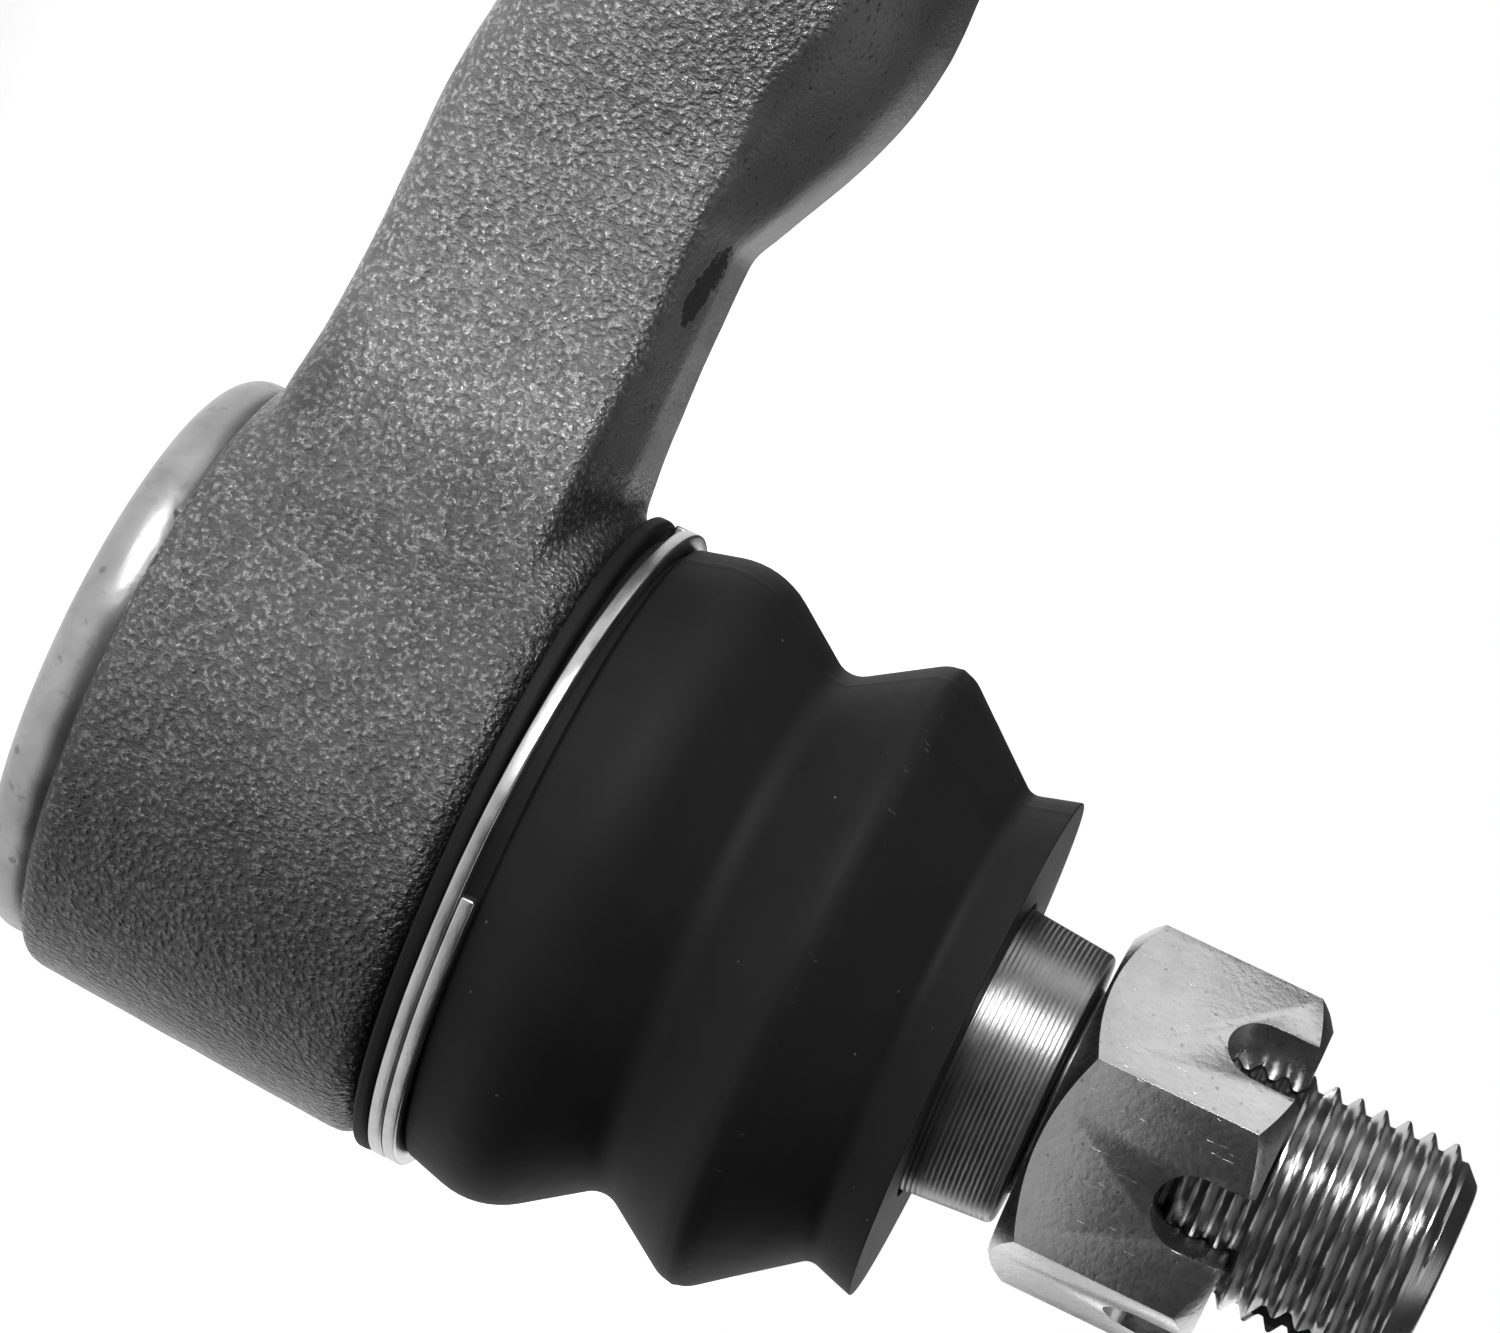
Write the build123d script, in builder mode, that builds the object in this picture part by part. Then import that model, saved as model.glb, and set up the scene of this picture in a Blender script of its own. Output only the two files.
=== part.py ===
"""Outer tie rod end: a forged socket and arm, a ball stud on plastic bearings, and its boot.

The origin is the centre of the ball. +Z runs along the stud to its threaded tip, and the arm
runs along -X to a boss with an internal thread. All sizes are in millimetres.
"""

import os
from math import cos, radians, sqrt, tan

from build123d import *

# ---- driving dimensions ----

# ball stud
ball_radius = 10.0
ball_flat_z = -0.86 * ball_radius
neck_radius = 5.5
taper_end_z = 38.5
taper_length = 15.0
neck_flare_length = 7.5  # from the neck out to the taper
taper_end_radius = 7.05
taper_ratio = 6.0  # length for each 1 mm of diameter
thread_radius = 6.0  # M12 x 1.25, modelled at its crest
thread_relief = 0.75
thread_relief_length = 1.5
thread_length = 20.1  # from the taper to the tip
tip_chamfer = 1.5
tip_rounding = 0.35
cotter_hole_radius = 1.6
cotter_hole_height = 14.4  # from the taper
stud_clock_deg = -18.7  # where the cotter hole and the nut slots face, from +X

# castle nut
nut_across_flats = 17.0
nut_height = 10.4
nut_gap = 0.4  # from the stud's shoulder to the nut
nut_slot_width = 3.75
nut_slot_depth = 4.3
nut_corner_chamfer_deg = 28.0
nut_face_margin = 0.2  # from the flats in to the end faces' rim
nut_thread_clearance = 0.03

# socket of the housing, sized round the ball
bearing_wall = 2.6
cup_bottom_z = ball_flat_z - 0.3
socket_back_z = cup_bottom_z - 3.1
rim_height = 2.75
rim_wall = 2.15
rim_rounding = 2.2
rim_lip_thickness = 1.0
rim_lip_overhang = 1.2
socket_back_wall = 3.1
socket_front_wall = 4.1
socket_front_rounding = 1.3
collar_wall = 1.7
collar_height = 3.0
collar_groove_depth = 0.7
collar_groove_start = 0.9  # from the socket's front
collar_groove_width = 1.5
seat_cone_z = 0.32 * ball_radius
throat_low_z = 0.7 * ball_radius
throat_height = 0.5
throat_undercut = 0.75  # smaller than the ball, so that the ball can't pass
front_wall = 1.8
mouth_wall = 1.9

# arm and boss
arm_width = 15.9  # along the stud's direction
arm_depth = 14.6  # across the stud's direction
arm_corner_radius = 3.8
arm_end_x = 30.5  # distances along the arm, from the ball centre
boss_start_x = 43.0
boss_end_x = 82.0
boss_radius = 10.5
boss_offset = 2.45  # boss axis from the ball centre, along the stud
boss_edge_chamfer = 1.0
wrench_flats = 19.0
wrench_flats_length = 12.0
rod_thread_radius = 6.19  # M14 x 1.5, modelled at its crest
rod_thread_depth = 37.0
rod_thread_chamfer = 0.9
drill_point_deg = 59.0
neck_web_width = 26.0  # where the arm's sides meet the socket
neck_web_end_x = 27.0
neck_web_height = 14.0

# bearings, cover and spring
bearing_clearance = 0.04
seat_running_clearance = 0.1
seat_lip_setback = 0.7  # from the throat
seat_lip_chamfer = 0.4
seat_sphere_end_z = 0.52 * ball_radius
seat_split_z = -0.14 * ball_radius
seat_split_gap = 0.4
cup_hole_radius = 0.52 * ball_radius
cup_hole_chamfer = 1.0
grease_groove_count = 6
grease_groove_width = 1.4
grease_groove_depth = 0.7
cover_thickness = 1.2
cover_overlap = 0.6  # past the bearing's bore
cover_dome_radius = 8.6
cover_dome_rise = 0.6
cover_clearance = 0.05
spring_thickness = 0.5
spring_inner_radius = 0.7 * ball_radius
spring_bore_gap = 0.4

# boot and its rings: radii from the collar's, heights from the collar's top
boot_wall = 1.4
boot_gap = 0.05  # to the collar that it grips
boot_stud_gap = 0.1
boot_bead_wall = 2.55
boot_clip_wall = 1.5
boot_clip_width = 1.55
boot_clip_shoulder = 0.45
boot_peak_step = 2.65
boot_peak_rise = 3.2
boot_peak_shoulder = 3.0
boot_peak_low_inset = 0.5
boot_peak_high_inset = 1.0
boot_valley_step = -0.35
boot_valley_rise = 8.8
boot_second_peak_step = 2.05
boot_second_peak_rise = 13.9
boot_second_low_shoulder = 2.6
boot_second_low_inset = 1.0
boot_second_high_shoulder = 2.4
boot_second_high_inset = 1.2
boot_groove_step = -1.8
boot_groove_rise = 19.1
boot_lip_step = -1.3
boot_lip_rise = 21.6
boot_lip_thickness = 2.2
clip_wire_height = 1.05
lip_ring_inner_radius = 8.7
lip_ring_outer_radius = 10.6
lip_ring_thickness = 0.8
lip_ring_gap = 0.05

# ---- sizes that follow from them ----

ball_neck_z = sqrt(ball_radius**2 - neck_radius**2)
ball_flat_radius = sqrt(ball_radius**2 - ball_flat_z**2)
taper_start_z = taper_end_z - taper_length
taper_start_radius = taper_end_radius + taper_length / (2 * taper_ratio)
neck_end_z = taper_start_z - neck_flare_length
stud_tip_z = taper_end_z + thread_length
cotter_hole_z = taper_end_z + cotter_hole_height
bearing_radius = ball_radius + bearing_clearance
seat_bore_radius = ball_radius + bearing_wall
throat_radius = ball_radius - throat_undercut
throat_high_z = throat_low_z + throat_height
rim_front_z = socket_back_z + rim_height
rim_radius = seat_bore_radius + rim_wall
rim_lip_radius = seat_bore_radius - rim_lip_overhang
socket_back_radius = seat_bore_radius + socket_back_wall
socket_front_radius = seat_bore_radius + socket_front_wall
socket_front_z = throat_high_z + front_wall
collar_radius = seat_bore_radius + collar_wall
collar_top_z = socket_front_z + collar_height
collar_groove_low_z = socket_front_z + collar_groove_start
collar_groove_high_z = collar_groove_low_z + collar_groove_width
mouth_radius = collar_radius - mouth_wall
seat_lip_z = throat_low_z - seat_lip_setback
spring_outer_radius = seat_bore_radius - spring_bore_gap
boot_bead_radius = collar_radius + boot_bead_wall
boot_clip_radius = collar_radius + boot_clip_wall
boot_clip_low_z = collar_groove_low_z
boot_peak_radius = collar_radius + boot_peak_step
boot_peak_z = collar_top_z + boot_peak_rise
boot_valley_radius = collar_radius + boot_valley_step
boot_valley_z = collar_top_z + boot_valley_rise
boot_second_peak_radius = collar_radius + boot_second_peak_step
boot_second_peak_z = collar_top_z + boot_second_peak_rise
boot_groove_radius = collar_radius + boot_groove_step
boot_groove_z = collar_top_z + boot_groove_rise
boot_lip_radius = collar_radius + boot_lip_step
boot_lip_z = collar_top_z + boot_lip_rise
nut_bottom_z = taper_end_z + nut_gap
nut_top_z = nut_bottom_z + nut_height
nut_bore_radius = thread_radius + nut_thread_clearance
nut_corner_radius = nut_across_flats / 2 / cos(radians(30))
cover_back_z = socket_back_z + rim_lip_thickness
cover_front_z = cover_back_z + cover_thickness
cover_radius = seat_bore_radius + cover_overlap
seat_outer_radius = seat_bore_radius - seat_running_clearance
cone_slope = (seat_bore_radius - throat_radius) / (throat_low_z - seat_cone_z)


def taper_radius(z):
    """Radius of the stud's taper at a height."""
    return taper_end_radius + (taper_end_z - z) / (2 * taper_ratio)


def housing_cone_radius(z):
    """Inner radius of the housing where it closes over the front bearing."""
    return seat_bore_radius - cone_slope * (z - seat_cone_z)


os.makedirs("parts", exist_ok=True)

# ---- housing: one forging, machined inside and at its rim ----

with BuildPart() as housing:
    # socket
    with BuildSketch(Plane.XZ):
        with BuildLine():
            Polyline(
                (0, socket_back_z),
                (rim_radius - rim_rounding, socket_back_z),
            )
            RadiusArc(
                (rim_radius - rim_rounding, socket_back_z),
                (rim_radius, socket_back_z + rim_rounding),
                -rim_rounding,
            )
            Polyline(
                (rim_radius, socket_back_z + rim_rounding),
                (rim_radius, rim_front_z),
                (socket_back_radius, rim_front_z),
                (socket_front_radius, socket_front_z - socket_front_rounding),
            )
            RadiusArc(
                (socket_front_radius, socket_front_z - socket_front_rounding),
                (socket_front_radius - socket_front_rounding, socket_front_z),
                -socket_front_rounding,
            )
            Polyline(
                (socket_front_radius - socket_front_rounding, socket_front_z),
                (collar_radius, socket_front_z),
                (collar_radius, collar_groove_low_z),
                (collar_radius - collar_groove_depth, collar_groove_low_z),
                (collar_radius - collar_groove_depth, collar_groove_high_z),
                (collar_radius, collar_groove_high_z),
                (collar_radius, collar_top_z),
                (0, collar_top_z),
                (0, socket_back_z),
            )
        make_face()
    revolve(axis=Axis.Z)

    # arm
    with BuildSketch(Plane.YZ):
        RectangleRounded(arm_depth, arm_width, arm_corner_radius)
    extrude(amount=-arm_end_x)

    # webs that blend the arm's sides into the socket
    with BuildSketch(Plane.XY.offset(-neck_web_height / 2)):
        with BuildLine():
            web_start = (-sqrt(socket_back_radius**2 - (neck_web_width / 2) ** 2), neck_web_width / 2)
            web_end = (-neck_web_end_x, arm_depth / 2)
            side = TangentArc(web_end, web_start, tangent=(1, 0))
            mirror(side, about=Plane.XZ)
            Line(web_start, (web_start[0], -web_start[1]))
            Line(web_end, (web_end[0], -web_end[1]))
        make_face()
    extrude(amount=neck_web_height)

    # the arm swells into the boss, whose axis is offset towards the stud's tip
    with BuildSketch(Plane.YZ.offset(-arm_end_x)):
        RectangleRounded(arm_depth, arm_width, arm_corner_radius)
    with BuildSketch(Plane.YZ.offset(-boss_start_x)) as boss_section:
        with Locations((0, boss_offset)):
            Circle(boss_radius)
    loft()
    extrude(boss_section.sketch, amount=-(boss_end_x - boss_start_x))
    chamfer(faces().sort_by(Axis.X)[0].edges(), boss_edge_chamfer)

    # wrench flats at the boss's open end
    flats_centre_x = -boss_end_x + wrench_flats_length / 2
    for side in (-1, 1):
        with Locations((flats_centre_x, side * (wrench_flats / 2 + boss_radius / 2), boss_offset)):
            Box(wrench_flats_length, boss_radius, 2 * boss_radius, mode=Mode.SUBTRACT)

    # threaded bore, with a drill point at its end and a chamfer at its mouth
    drill_point = rod_thread_radius / tan(radians(drill_point_deg))
    with BuildSketch(Plane.XZ):
        with BuildLine():
            Polyline(
                (-boss_end_x, boss_offset),
                (-boss_end_x, boss_offset + rod_thread_radius + rod_thread_chamfer),
                (-boss_end_x + rod_thread_chamfer, boss_offset + rod_thread_radius),
                (-boss_end_x + rod_thread_depth, boss_offset + rod_thread_radius),
                (-boss_end_x + rod_thread_depth + drill_point, boss_offset),
                close=True,
            )
        make_face()
    revolve(axis=Axis((-boss_end_x, 0, boss_offset), (1, 0, 0)), mode=Mode.SUBTRACT)

    # socket bore: the rolled rim, the cover's seat, the bearing bore, the throat and the mouth
    with BuildSketch(Plane.XZ):
        with BuildLine():
            Polyline(
                (0, socket_back_z),
                (rim_lip_radius, socket_back_z),
                (rim_lip_radius, cover_back_z),
                (cover_radius + cover_clearance, cover_back_z),
                (cover_radius + cover_clearance, cover_front_z),
                (seat_bore_radius, cover_front_z),
                (seat_bore_radius, seat_cone_z),
                (throat_radius, throat_low_z),
                (throat_radius, throat_high_z),
                (mouth_radius, collar_top_z),
                (0, collar_top_z),
                close=True,
            )
        make_face()
    revolve(axis=Axis.Z, mode=Mode.SUBTRACT)
housing.part.label = "housing"
export_step(housing.part, "parts/housing.step")

# ---- end cover: a pressed steel disc, held by the rolled rim ----

with BuildPart() as end_cover:
    with BuildSketch(Plane.XZ):
        with BuildLine():
            Polyline(
                (0, cover_back_z - cover_dome_rise),
                (cover_dome_radius - cover_dome_rise, cover_back_z - cover_dome_rise),
                (cover_dome_radius, cover_back_z),
                (cover_radius, cover_back_z),
                (cover_radius, cover_front_z),
                (cover_dome_radius - cover_thickness / 2, cover_front_z),
                (cover_dome_radius - cover_thickness / 2 - cover_dome_rise, cover_front_z - cover_dome_rise),
                (0, cover_front_z - cover_dome_rise),
                close=True,
            )
        make_face()
    revolve(axis=Axis.Z)
end_cover.part.label = "end_cover"
export_step(end_cover.part, "parts/end_cover.step")

# ---- disc spring: presses the pressure cup against the ball ----

with BuildPart() as disc_spring:
    with BuildSketch(Plane.XZ):
        with BuildLine():
            Polyline(
                (spring_outer_radius, cover_front_z),
                (spring_outer_radius, cover_front_z + spring_thickness),
                (spring_inner_radius, cup_bottom_z),
                (spring_inner_radius, cup_bottom_z - spring_thickness),
                close=True,
            )
        make_face()
    revolve(axis=Axis.Z)
disc_spring.part.label = "disc_spring"
export_step(disc_spring.part, "parts/disc_spring.step")


def cut_grease_grooves(low_z, high_z):
    """Cuts the grease grooves of a bearing, evenly spaced round the ball."""
    reach = bearing_radius + grease_groove_depth
    with PolarLocations(reach / 2, grease_groove_count):
        with Locations((0, 0, (low_z + high_z) / 2)):
            Box(reach, grease_groove_width, high_z - low_z, mode=Mode.SUBTRACT)


# ---- pressure cup: the rear bearing, moulded in acetal ----

cup_top_z = seat_split_z - seat_split_gap
with BuildPart() as pressure_cup:
    with BuildSketch(Plane.XZ):
        with BuildLine():
            Polyline(
                (cup_hole_radius, cup_bottom_z),
                (seat_bore_radius - cover_clearance, cup_bottom_z),
                (seat_bore_radius - cover_clearance, cup_top_z),
                (0, cup_top_z),
                (0, cup_top_z - cup_hole_chamfer),
                (cup_hole_radius, cup_bottom_z + cup_hole_chamfer),
                close=True,
            )
        make_face()
    revolve(axis=Axis.Z)
    Sphere(bearing_radius, mode=Mode.SUBTRACT)
    cut_grease_grooves(cup_bottom_z / 2, cup_top_z)
pressure_cup.part.label = "pressure_cup"
export_step(pressure_cup.part, "parts/pressure_cup.step")

# ---- ball seat: the front bearing, slit at its lip so that it closes over the ball ----

seat_lip_clearance = seat_running_clearance * 2
with BuildPart() as ball_seat:
    with BuildSketch(Plane.XZ):
        with BuildLine():
            sphere_end_radius = sqrt(bearing_radius**2 - seat_sphere_end_z**2)
            sphere_start_radius = sqrt(bearing_radius**2 - seat_split_z**2)
            Polyline(
                (sphere_start_radius, seat_split_z),
                (seat_outer_radius, seat_split_z),
                (seat_outer_radius, seat_cone_z - seat_running_clearance),
                (housing_cone_radius(seat_lip_z) - seat_lip_clearance, seat_lip_z),
                (sphere_end_radius + seat_lip_chamfer, seat_lip_z),
                (sphere_end_radius, seat_sphere_end_z),
            )
            ThreePointArc(
                (sphere_end_radius, seat_sphere_end_z),
                (bearing_radius, 0),
                (sphere_start_radius, seat_split_z),
            )
        make_face()
    revolve(axis=Axis.Z)
    cut_grease_grooves(seat_split_z, seat_lip_z)
ball_seat.part.label = "ball_seat"
export_step(ball_seat.part, "parts/ball_seat.step")

# ---- ball stud: one forging, ground ball and taper, rolled thread ----

relief_radius = thread_radius - thread_relief
relief_end_z = taper_end_z + thread_relief_length
with BuildPart() as ball_stud:
    with BuildSketch(Plane.XZ):
        with BuildLine():
            Polyline((0, ball_flat_z), (ball_flat_radius, ball_flat_z))
            ThreePointArc(
                (ball_flat_radius, ball_flat_z),
                (ball_radius, 0),
                (neck_radius, ball_neck_z),
            )
            Polyline(
                (neck_radius, ball_neck_z),
                (neck_radius, neck_end_z),
                (taper_start_radius, taper_start_z),
                (taper_end_radius, taper_end_z),
                (relief_radius, taper_end_z),
                (relief_radius, relief_end_z),
                (thread_radius, relief_end_z + thread_relief),
                (thread_radius, stud_tip_z - tip_chamfer),
                (thread_radius - tip_chamfer, stud_tip_z),
                (0, stud_tip_z),
                (0, ball_flat_z),
            )
        make_face()
    revolve(axis=Axis.Z)
    fillet(edges().filter_by(GeomType.CIRCLE).sort_by(Axis.Z)[-1], tip_rounding)
    # cotter hole, along the direction that the nut's slots share
    cotter_plane = Plane((0, 0, cotter_hole_z), x_dir=(0, 0, 1), z_dir=(1, 0, 0)).rotated(
        (0, 0, stud_clock_deg)
    )
    with BuildSketch(cotter_plane):
        Circle(cotter_hole_radius)
    extrude(amount=thread_radius * 2, both=True, mode=Mode.SUBTRACT)
ball_stud.part.label = "ball_stud"
export_step(ball_stud.part, "parts/ball_stud.step")

# ---- castle nut ----

with BuildPart() as castle_nut:
    with BuildSketch(Plane.XY.offset(nut_bottom_z)):
        RegularPolygon(nut_across_flats / 2, 6, major_radius=False, rotation=stud_clock_deg + 30)
    extrude(amount=nut_height)
    # corners turned back to a cone at both ends
    cone_drop = (nut_corner_radius - nut_across_flats / 2 + nut_face_margin) * tan(radians(nut_corner_chamfer_deg))
    with BuildSketch(Plane.XZ):
        with BuildLine():
            Polyline(
                (0, nut_bottom_z),
                (nut_across_flats / 2 - nut_face_margin, nut_bottom_z),
                (nut_corner_radius, nut_bottom_z + cone_drop),
                (nut_corner_radius, nut_top_z - cone_drop),
                (nut_across_flats / 2 - nut_face_margin, nut_top_z),
                (0, nut_top_z),
                close=True,
            )
        make_face()
    revolve(axis=Axis.Z, mode=Mode.INTERSECT)
    # slots with round bottoms, through the middle of each face
    for slot in range(3):
        slot_plane = Plane((0, 0, nut_top_z), x_dir=(0, 1, 0), z_dir=(1, 0, 0)).rotated(
            (0, 0, stud_clock_deg + 60 * slot)
        )
        with BuildSketch(slot_plane):
            slot_bottom = nut_slot_depth - nut_slot_width / 2
            with Locations((0, -slot_bottom)):
                Circle(nut_slot_width / 2)
            with Locations((0, 0)):
                Rectangle(nut_slot_width, 2 * slot_bottom)
        extrude(amount=nut_across_flats, both=True, mode=Mode.SUBTRACT)
    with Locations((0, 0, (nut_bottom_z + nut_top_z) / 2)):
        Cylinder(nut_bore_radius, nut_height, mode=Mode.SUBTRACT)
castle_nut.part.label = "castle_nut"
export_step(castle_nut.part, "parts/castle_nut.step")

# ---- dust boot: moulded rubber, gripping the collar at one end and the stud at the other ----


def boot_outline(inward):
    """The boot's bellows from the clip groove to the lip, moved in by a wall's thickness."""
    peak, second = boot_peak_radius - inward, boot_second_peak_radius - inward
    return [
        (peak - boot_peak_low_inset, boot_peak_z - boot_peak_shoulder),
        (peak, boot_peak_z),
        (peak - boot_peak_high_inset, boot_peak_z + boot_peak_shoulder - inward / 2),
        (boot_valley_radius - inward, boot_valley_z),
        (second - boot_second_low_inset, boot_second_peak_z - boot_second_low_shoulder + inward / 2),
        (second, boot_second_peak_z),
        (second - boot_second_high_inset, boot_second_peak_z + boot_second_high_shoulder - inward / 2),
    ]


with BuildPart() as dust_boot:
    clip_high_z = boot_clip_low_z + boot_clip_width
    lip_bore_radius = taper_radius(boot_lip_z - boot_lip_thickness) + boot_stud_gap
    lip_inner_z = boot_lip_z - boot_lip_thickness
    with BuildSketch(Plane.XZ):
        with BuildLine():
            outer = boot_outline(0)
            inner = boot_outline(boot_wall)
            Polyline(
                (collar_radius + boot_gap, socket_front_z + boot_gap),
                (boot_bead_radius, socket_front_z + boot_gap),
                (boot_bead_radius, boot_clip_low_z),
                (boot_clip_radius, boot_clip_low_z),
                (boot_clip_radius, clip_high_z),
                (boot_clip_radius + boot_clip_shoulder, clip_high_z),
                outer[0],
            )
            Spline(*outer)
            Polyline(
                outer[-1],
                (boot_groove_radius, boot_groove_z),
                (boot_lip_radius, boot_lip_z),
                (lip_bore_radius, boot_lip_z),
                (lip_bore_radius, lip_inner_z),
                (lip_ring_outer_radius + lip_ring_gap, lip_inner_z),
                inner[-1],
            )
            Spline(*inner)
            Polyline(
                inner[0],
                (collar_radius + boot_gap, collar_top_z + boot_gap),
                (collar_radius + boot_gap, socket_front_z + boot_gap),
            )
        make_face()
    revolve(axis=Axis.Z)
dust_boot.part.label = "dust_boot"
export_step(dust_boot.part, "parts/dust_boot.step")

# ---- boot clip ring: steel wire wound close round the boot's clip groove ----

with BuildPart() as boot_clip_ring:
    with BuildSketch(Plane.XZ):
        with Locations((boot_clip_radius + clip_wire_height / 2, boot_clip_low_z + boot_clip_width / 2)):
            Rectangle(clip_wire_height, boot_clip_width)
    revolve(axis=Axis.Z)
boot_clip_ring.part.label = "boot_clip_ring"
export_step(boot_clip_ring.part, "parts/boot_clip_ring.step")

# ---- boot lip ring: stiffens the boot's small end from inside ----

with BuildPart() as boot_lip_ring:
    ring_high_z = boot_lip_z - boot_lip_thickness - lip_ring_gap
    with BuildSketch(Plane.XY.offset(ring_high_z - lip_ring_thickness)):
        Circle(lip_ring_outer_radius)
        Circle(lip_ring_inner_radius, mode=Mode.SUBTRACT)
    extrude(amount=lip_ring_thickness)
boot_lip_ring.part.label = "boot_lip_ring"
export_step(boot_lip_ring.part, "parts/boot_lip_ring.step")
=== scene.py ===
"""An outer tie rod end: forged socket, arm and boss, ball stud, boot, wire clip and castle nut.

+Z runs along the stud, -X along the arm, and the centre of the ball is at the origin.
"""

import math

import bmesh
import bpy
import numpy as np
from mathutils import Matrix, Vector, noise


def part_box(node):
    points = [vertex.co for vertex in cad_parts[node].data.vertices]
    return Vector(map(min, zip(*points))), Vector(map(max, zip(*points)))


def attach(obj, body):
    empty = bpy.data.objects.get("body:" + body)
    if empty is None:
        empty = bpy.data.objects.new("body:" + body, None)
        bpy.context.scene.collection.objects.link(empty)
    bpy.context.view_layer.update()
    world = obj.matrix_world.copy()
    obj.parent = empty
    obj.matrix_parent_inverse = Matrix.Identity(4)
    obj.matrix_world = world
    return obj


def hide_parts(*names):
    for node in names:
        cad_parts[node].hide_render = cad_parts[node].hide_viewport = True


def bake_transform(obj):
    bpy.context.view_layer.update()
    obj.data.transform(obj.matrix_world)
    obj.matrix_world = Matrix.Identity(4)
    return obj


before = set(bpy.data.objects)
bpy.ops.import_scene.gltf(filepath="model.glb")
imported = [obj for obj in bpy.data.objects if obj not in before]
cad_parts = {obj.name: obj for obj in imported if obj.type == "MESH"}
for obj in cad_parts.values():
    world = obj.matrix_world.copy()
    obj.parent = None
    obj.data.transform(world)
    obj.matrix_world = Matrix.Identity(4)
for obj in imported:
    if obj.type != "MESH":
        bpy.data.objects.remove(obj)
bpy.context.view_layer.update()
MM = 0.001

# ---------------------------------------------------------------------------------------------
# Studio: a pale floor that glows behind the object, a white surround, a soft key light on the
# arm's side and weaker lights round the rest. The camera looks across the stud, a little from
# the side of its tip.

camera_data = bpy.data.cameras.new("camera")
camera_data.sensor_width = 36.0
camera_data.lens = 131.0
camera_data.clip_start = 0.01
camera_data.clip_end = 50.0
camera = bpy.data.objects.new("camera", camera_data)
bpy.context.scene.collection.objects.link(camera)
bpy.context.scene.camera = camera
camera_place = Vector((-25.5, -261.1, 47.7)) * MM
view_direction = Vector((0.0507, 0.9917, -0.1183)).normalized()
view_right = Vector((-0.4213, 0.1287, 0.8978)).normalized()
view_up = view_right.cross(view_direction).normalized()
view_right = view_direction.cross(view_up)
camera.matrix_world = Matrix.Translation(camera_place) @ Matrix(
    (view_right, view_up, -view_direction)
).transposed().to_4x4()

bpy.context.scene.view_settings.view_transform = "Standard"

world = bpy.data.worlds.new("surround")
bpy.context.scene.world = world
world.use_nodes = True
surround = world.node_tree.nodes
seen = surround.new("ShaderNodeBackground")
seen.inputs["Color"].default_value = (1.0, 1.0, 1.0, 1.0)
seen.inputs["Strength"].default_value = 1.0
surround["Background"].inputs["Color"].default_value = (1.0, 1.0, 1.0, 1.0)
surround["Background"].inputs["Strength"].default_value = 0.05
ray = surround.new("ShaderNodeLightPath")
choose = surround.new("ShaderNodeMixShader")
world.node_tree.links.new(ray.outputs["Is Camera Ray"], choose.inputs["Fac"])
world.node_tree.links.new(surround["Background"].outputs[0], choose.inputs[1])
world.node_tree.links.new(seen.outputs[0], choose.inputs[2])
world.node_tree.links.new(choose.outputs[0], surround["World Output"].inputs["Surface"])


light_aim = Vector((0.0, 0.0, 10.0))


def softbox(name, place, size, watts):
    """An area light at a place in millimetres, turned towards the object."""
    light_data = bpy.data.lights.new(name, "AREA")
    light_data.shape = "RECTANGLE"
    light_data.size, light_data.size_y = size[0] * MM, size[1] * MM
    light_data.energy = watts
    light = bpy.data.objects.new(name, light_data)
    bpy.context.scene.collection.objects.link(light)
    light.location = Vector(place) * MM
    light.rotation_euler = (light_aim * MM - light.location).to_track_quat("-Z", "Y").to_euler()


softbox("key", (-330, -370, 5), (110, 260), 4.0)
softbox("arm_side", (-560, 20, 120), (260, 420), 0.6)
softbox("tip_side", (40, -120, 620), (300, 300), 0.4)
softbox("boss_side", (320, 380, 20), (200, 260), 0.16)
softbox("back", (180, 520, 260), (420, 420), 0.9)

floor_size = 0.55
floor_mesh = bpy.data.meshes.new("floor")
floor_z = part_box("housing")[0].z
corners = [(-1, -1), (1, -1), (1, 1), (-1, 1)]
floor_points = [(x * floor_size, y * floor_size, floor_z) for x, y in corners]
floor_mesh.from_pydata(floor_points, [], [(0, 1, 2, 3)])
floor = bpy.data.objects.new("floor", floor_mesh)
bpy.context.scene.collection.objects.link(floor)
floor_finish = bpy.data.materials.new("pale_floor")
floor_finish.use_nodes = True
floor_shader = floor_finish.node_tree.nodes["Principled BSDF"]
floor_shader.inputs["Base Color"].default_value = (0.62, 0.62, 0.62, 1.0)
floor_shader.inputs["Roughness"].default_value = 0.9
floor_shader.inputs["Emission Strength"].default_value = 1.0
floor_place = floor_finish.node_tree.nodes.new("ShaderNodeTexCoord")
floor_split = floor_finish.node_tree.nodes.new("ShaderNodeSeparateXYZ")
floor_glow = floor_finish.node_tree.nodes.new("ShaderNodeMapRange")
floor_glow.interpolation_type = "SMOOTHSTEP"
for key, value in (("From Min", -0.11), ("From Max", -0.01), ("To Min", 0.45), ("To Max", 1.0)):
    floor_glow.inputs[key].default_value = value
for out, into in (
    (floor_place.outputs["Object"], floor_split.inputs[0]),
    (floor_split.outputs["Y"], floor_glow.inputs["Value"]),
    (floor_glow.outputs[0], floor_shader.inputs["Emission Color"]),
):
    floor_finish.node_tree.links.new(out, into)
floor_mesh.materials.append(floor_finish)

# ---------------------------------------------------------------------------------------------
# Forging: socket, arm and boss in one piece of hot-forged steel, shot-blasted to a coarse skin.
# The flanks that face the stud's tip are trimmed smooth. The bores are machined after forging.

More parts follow.
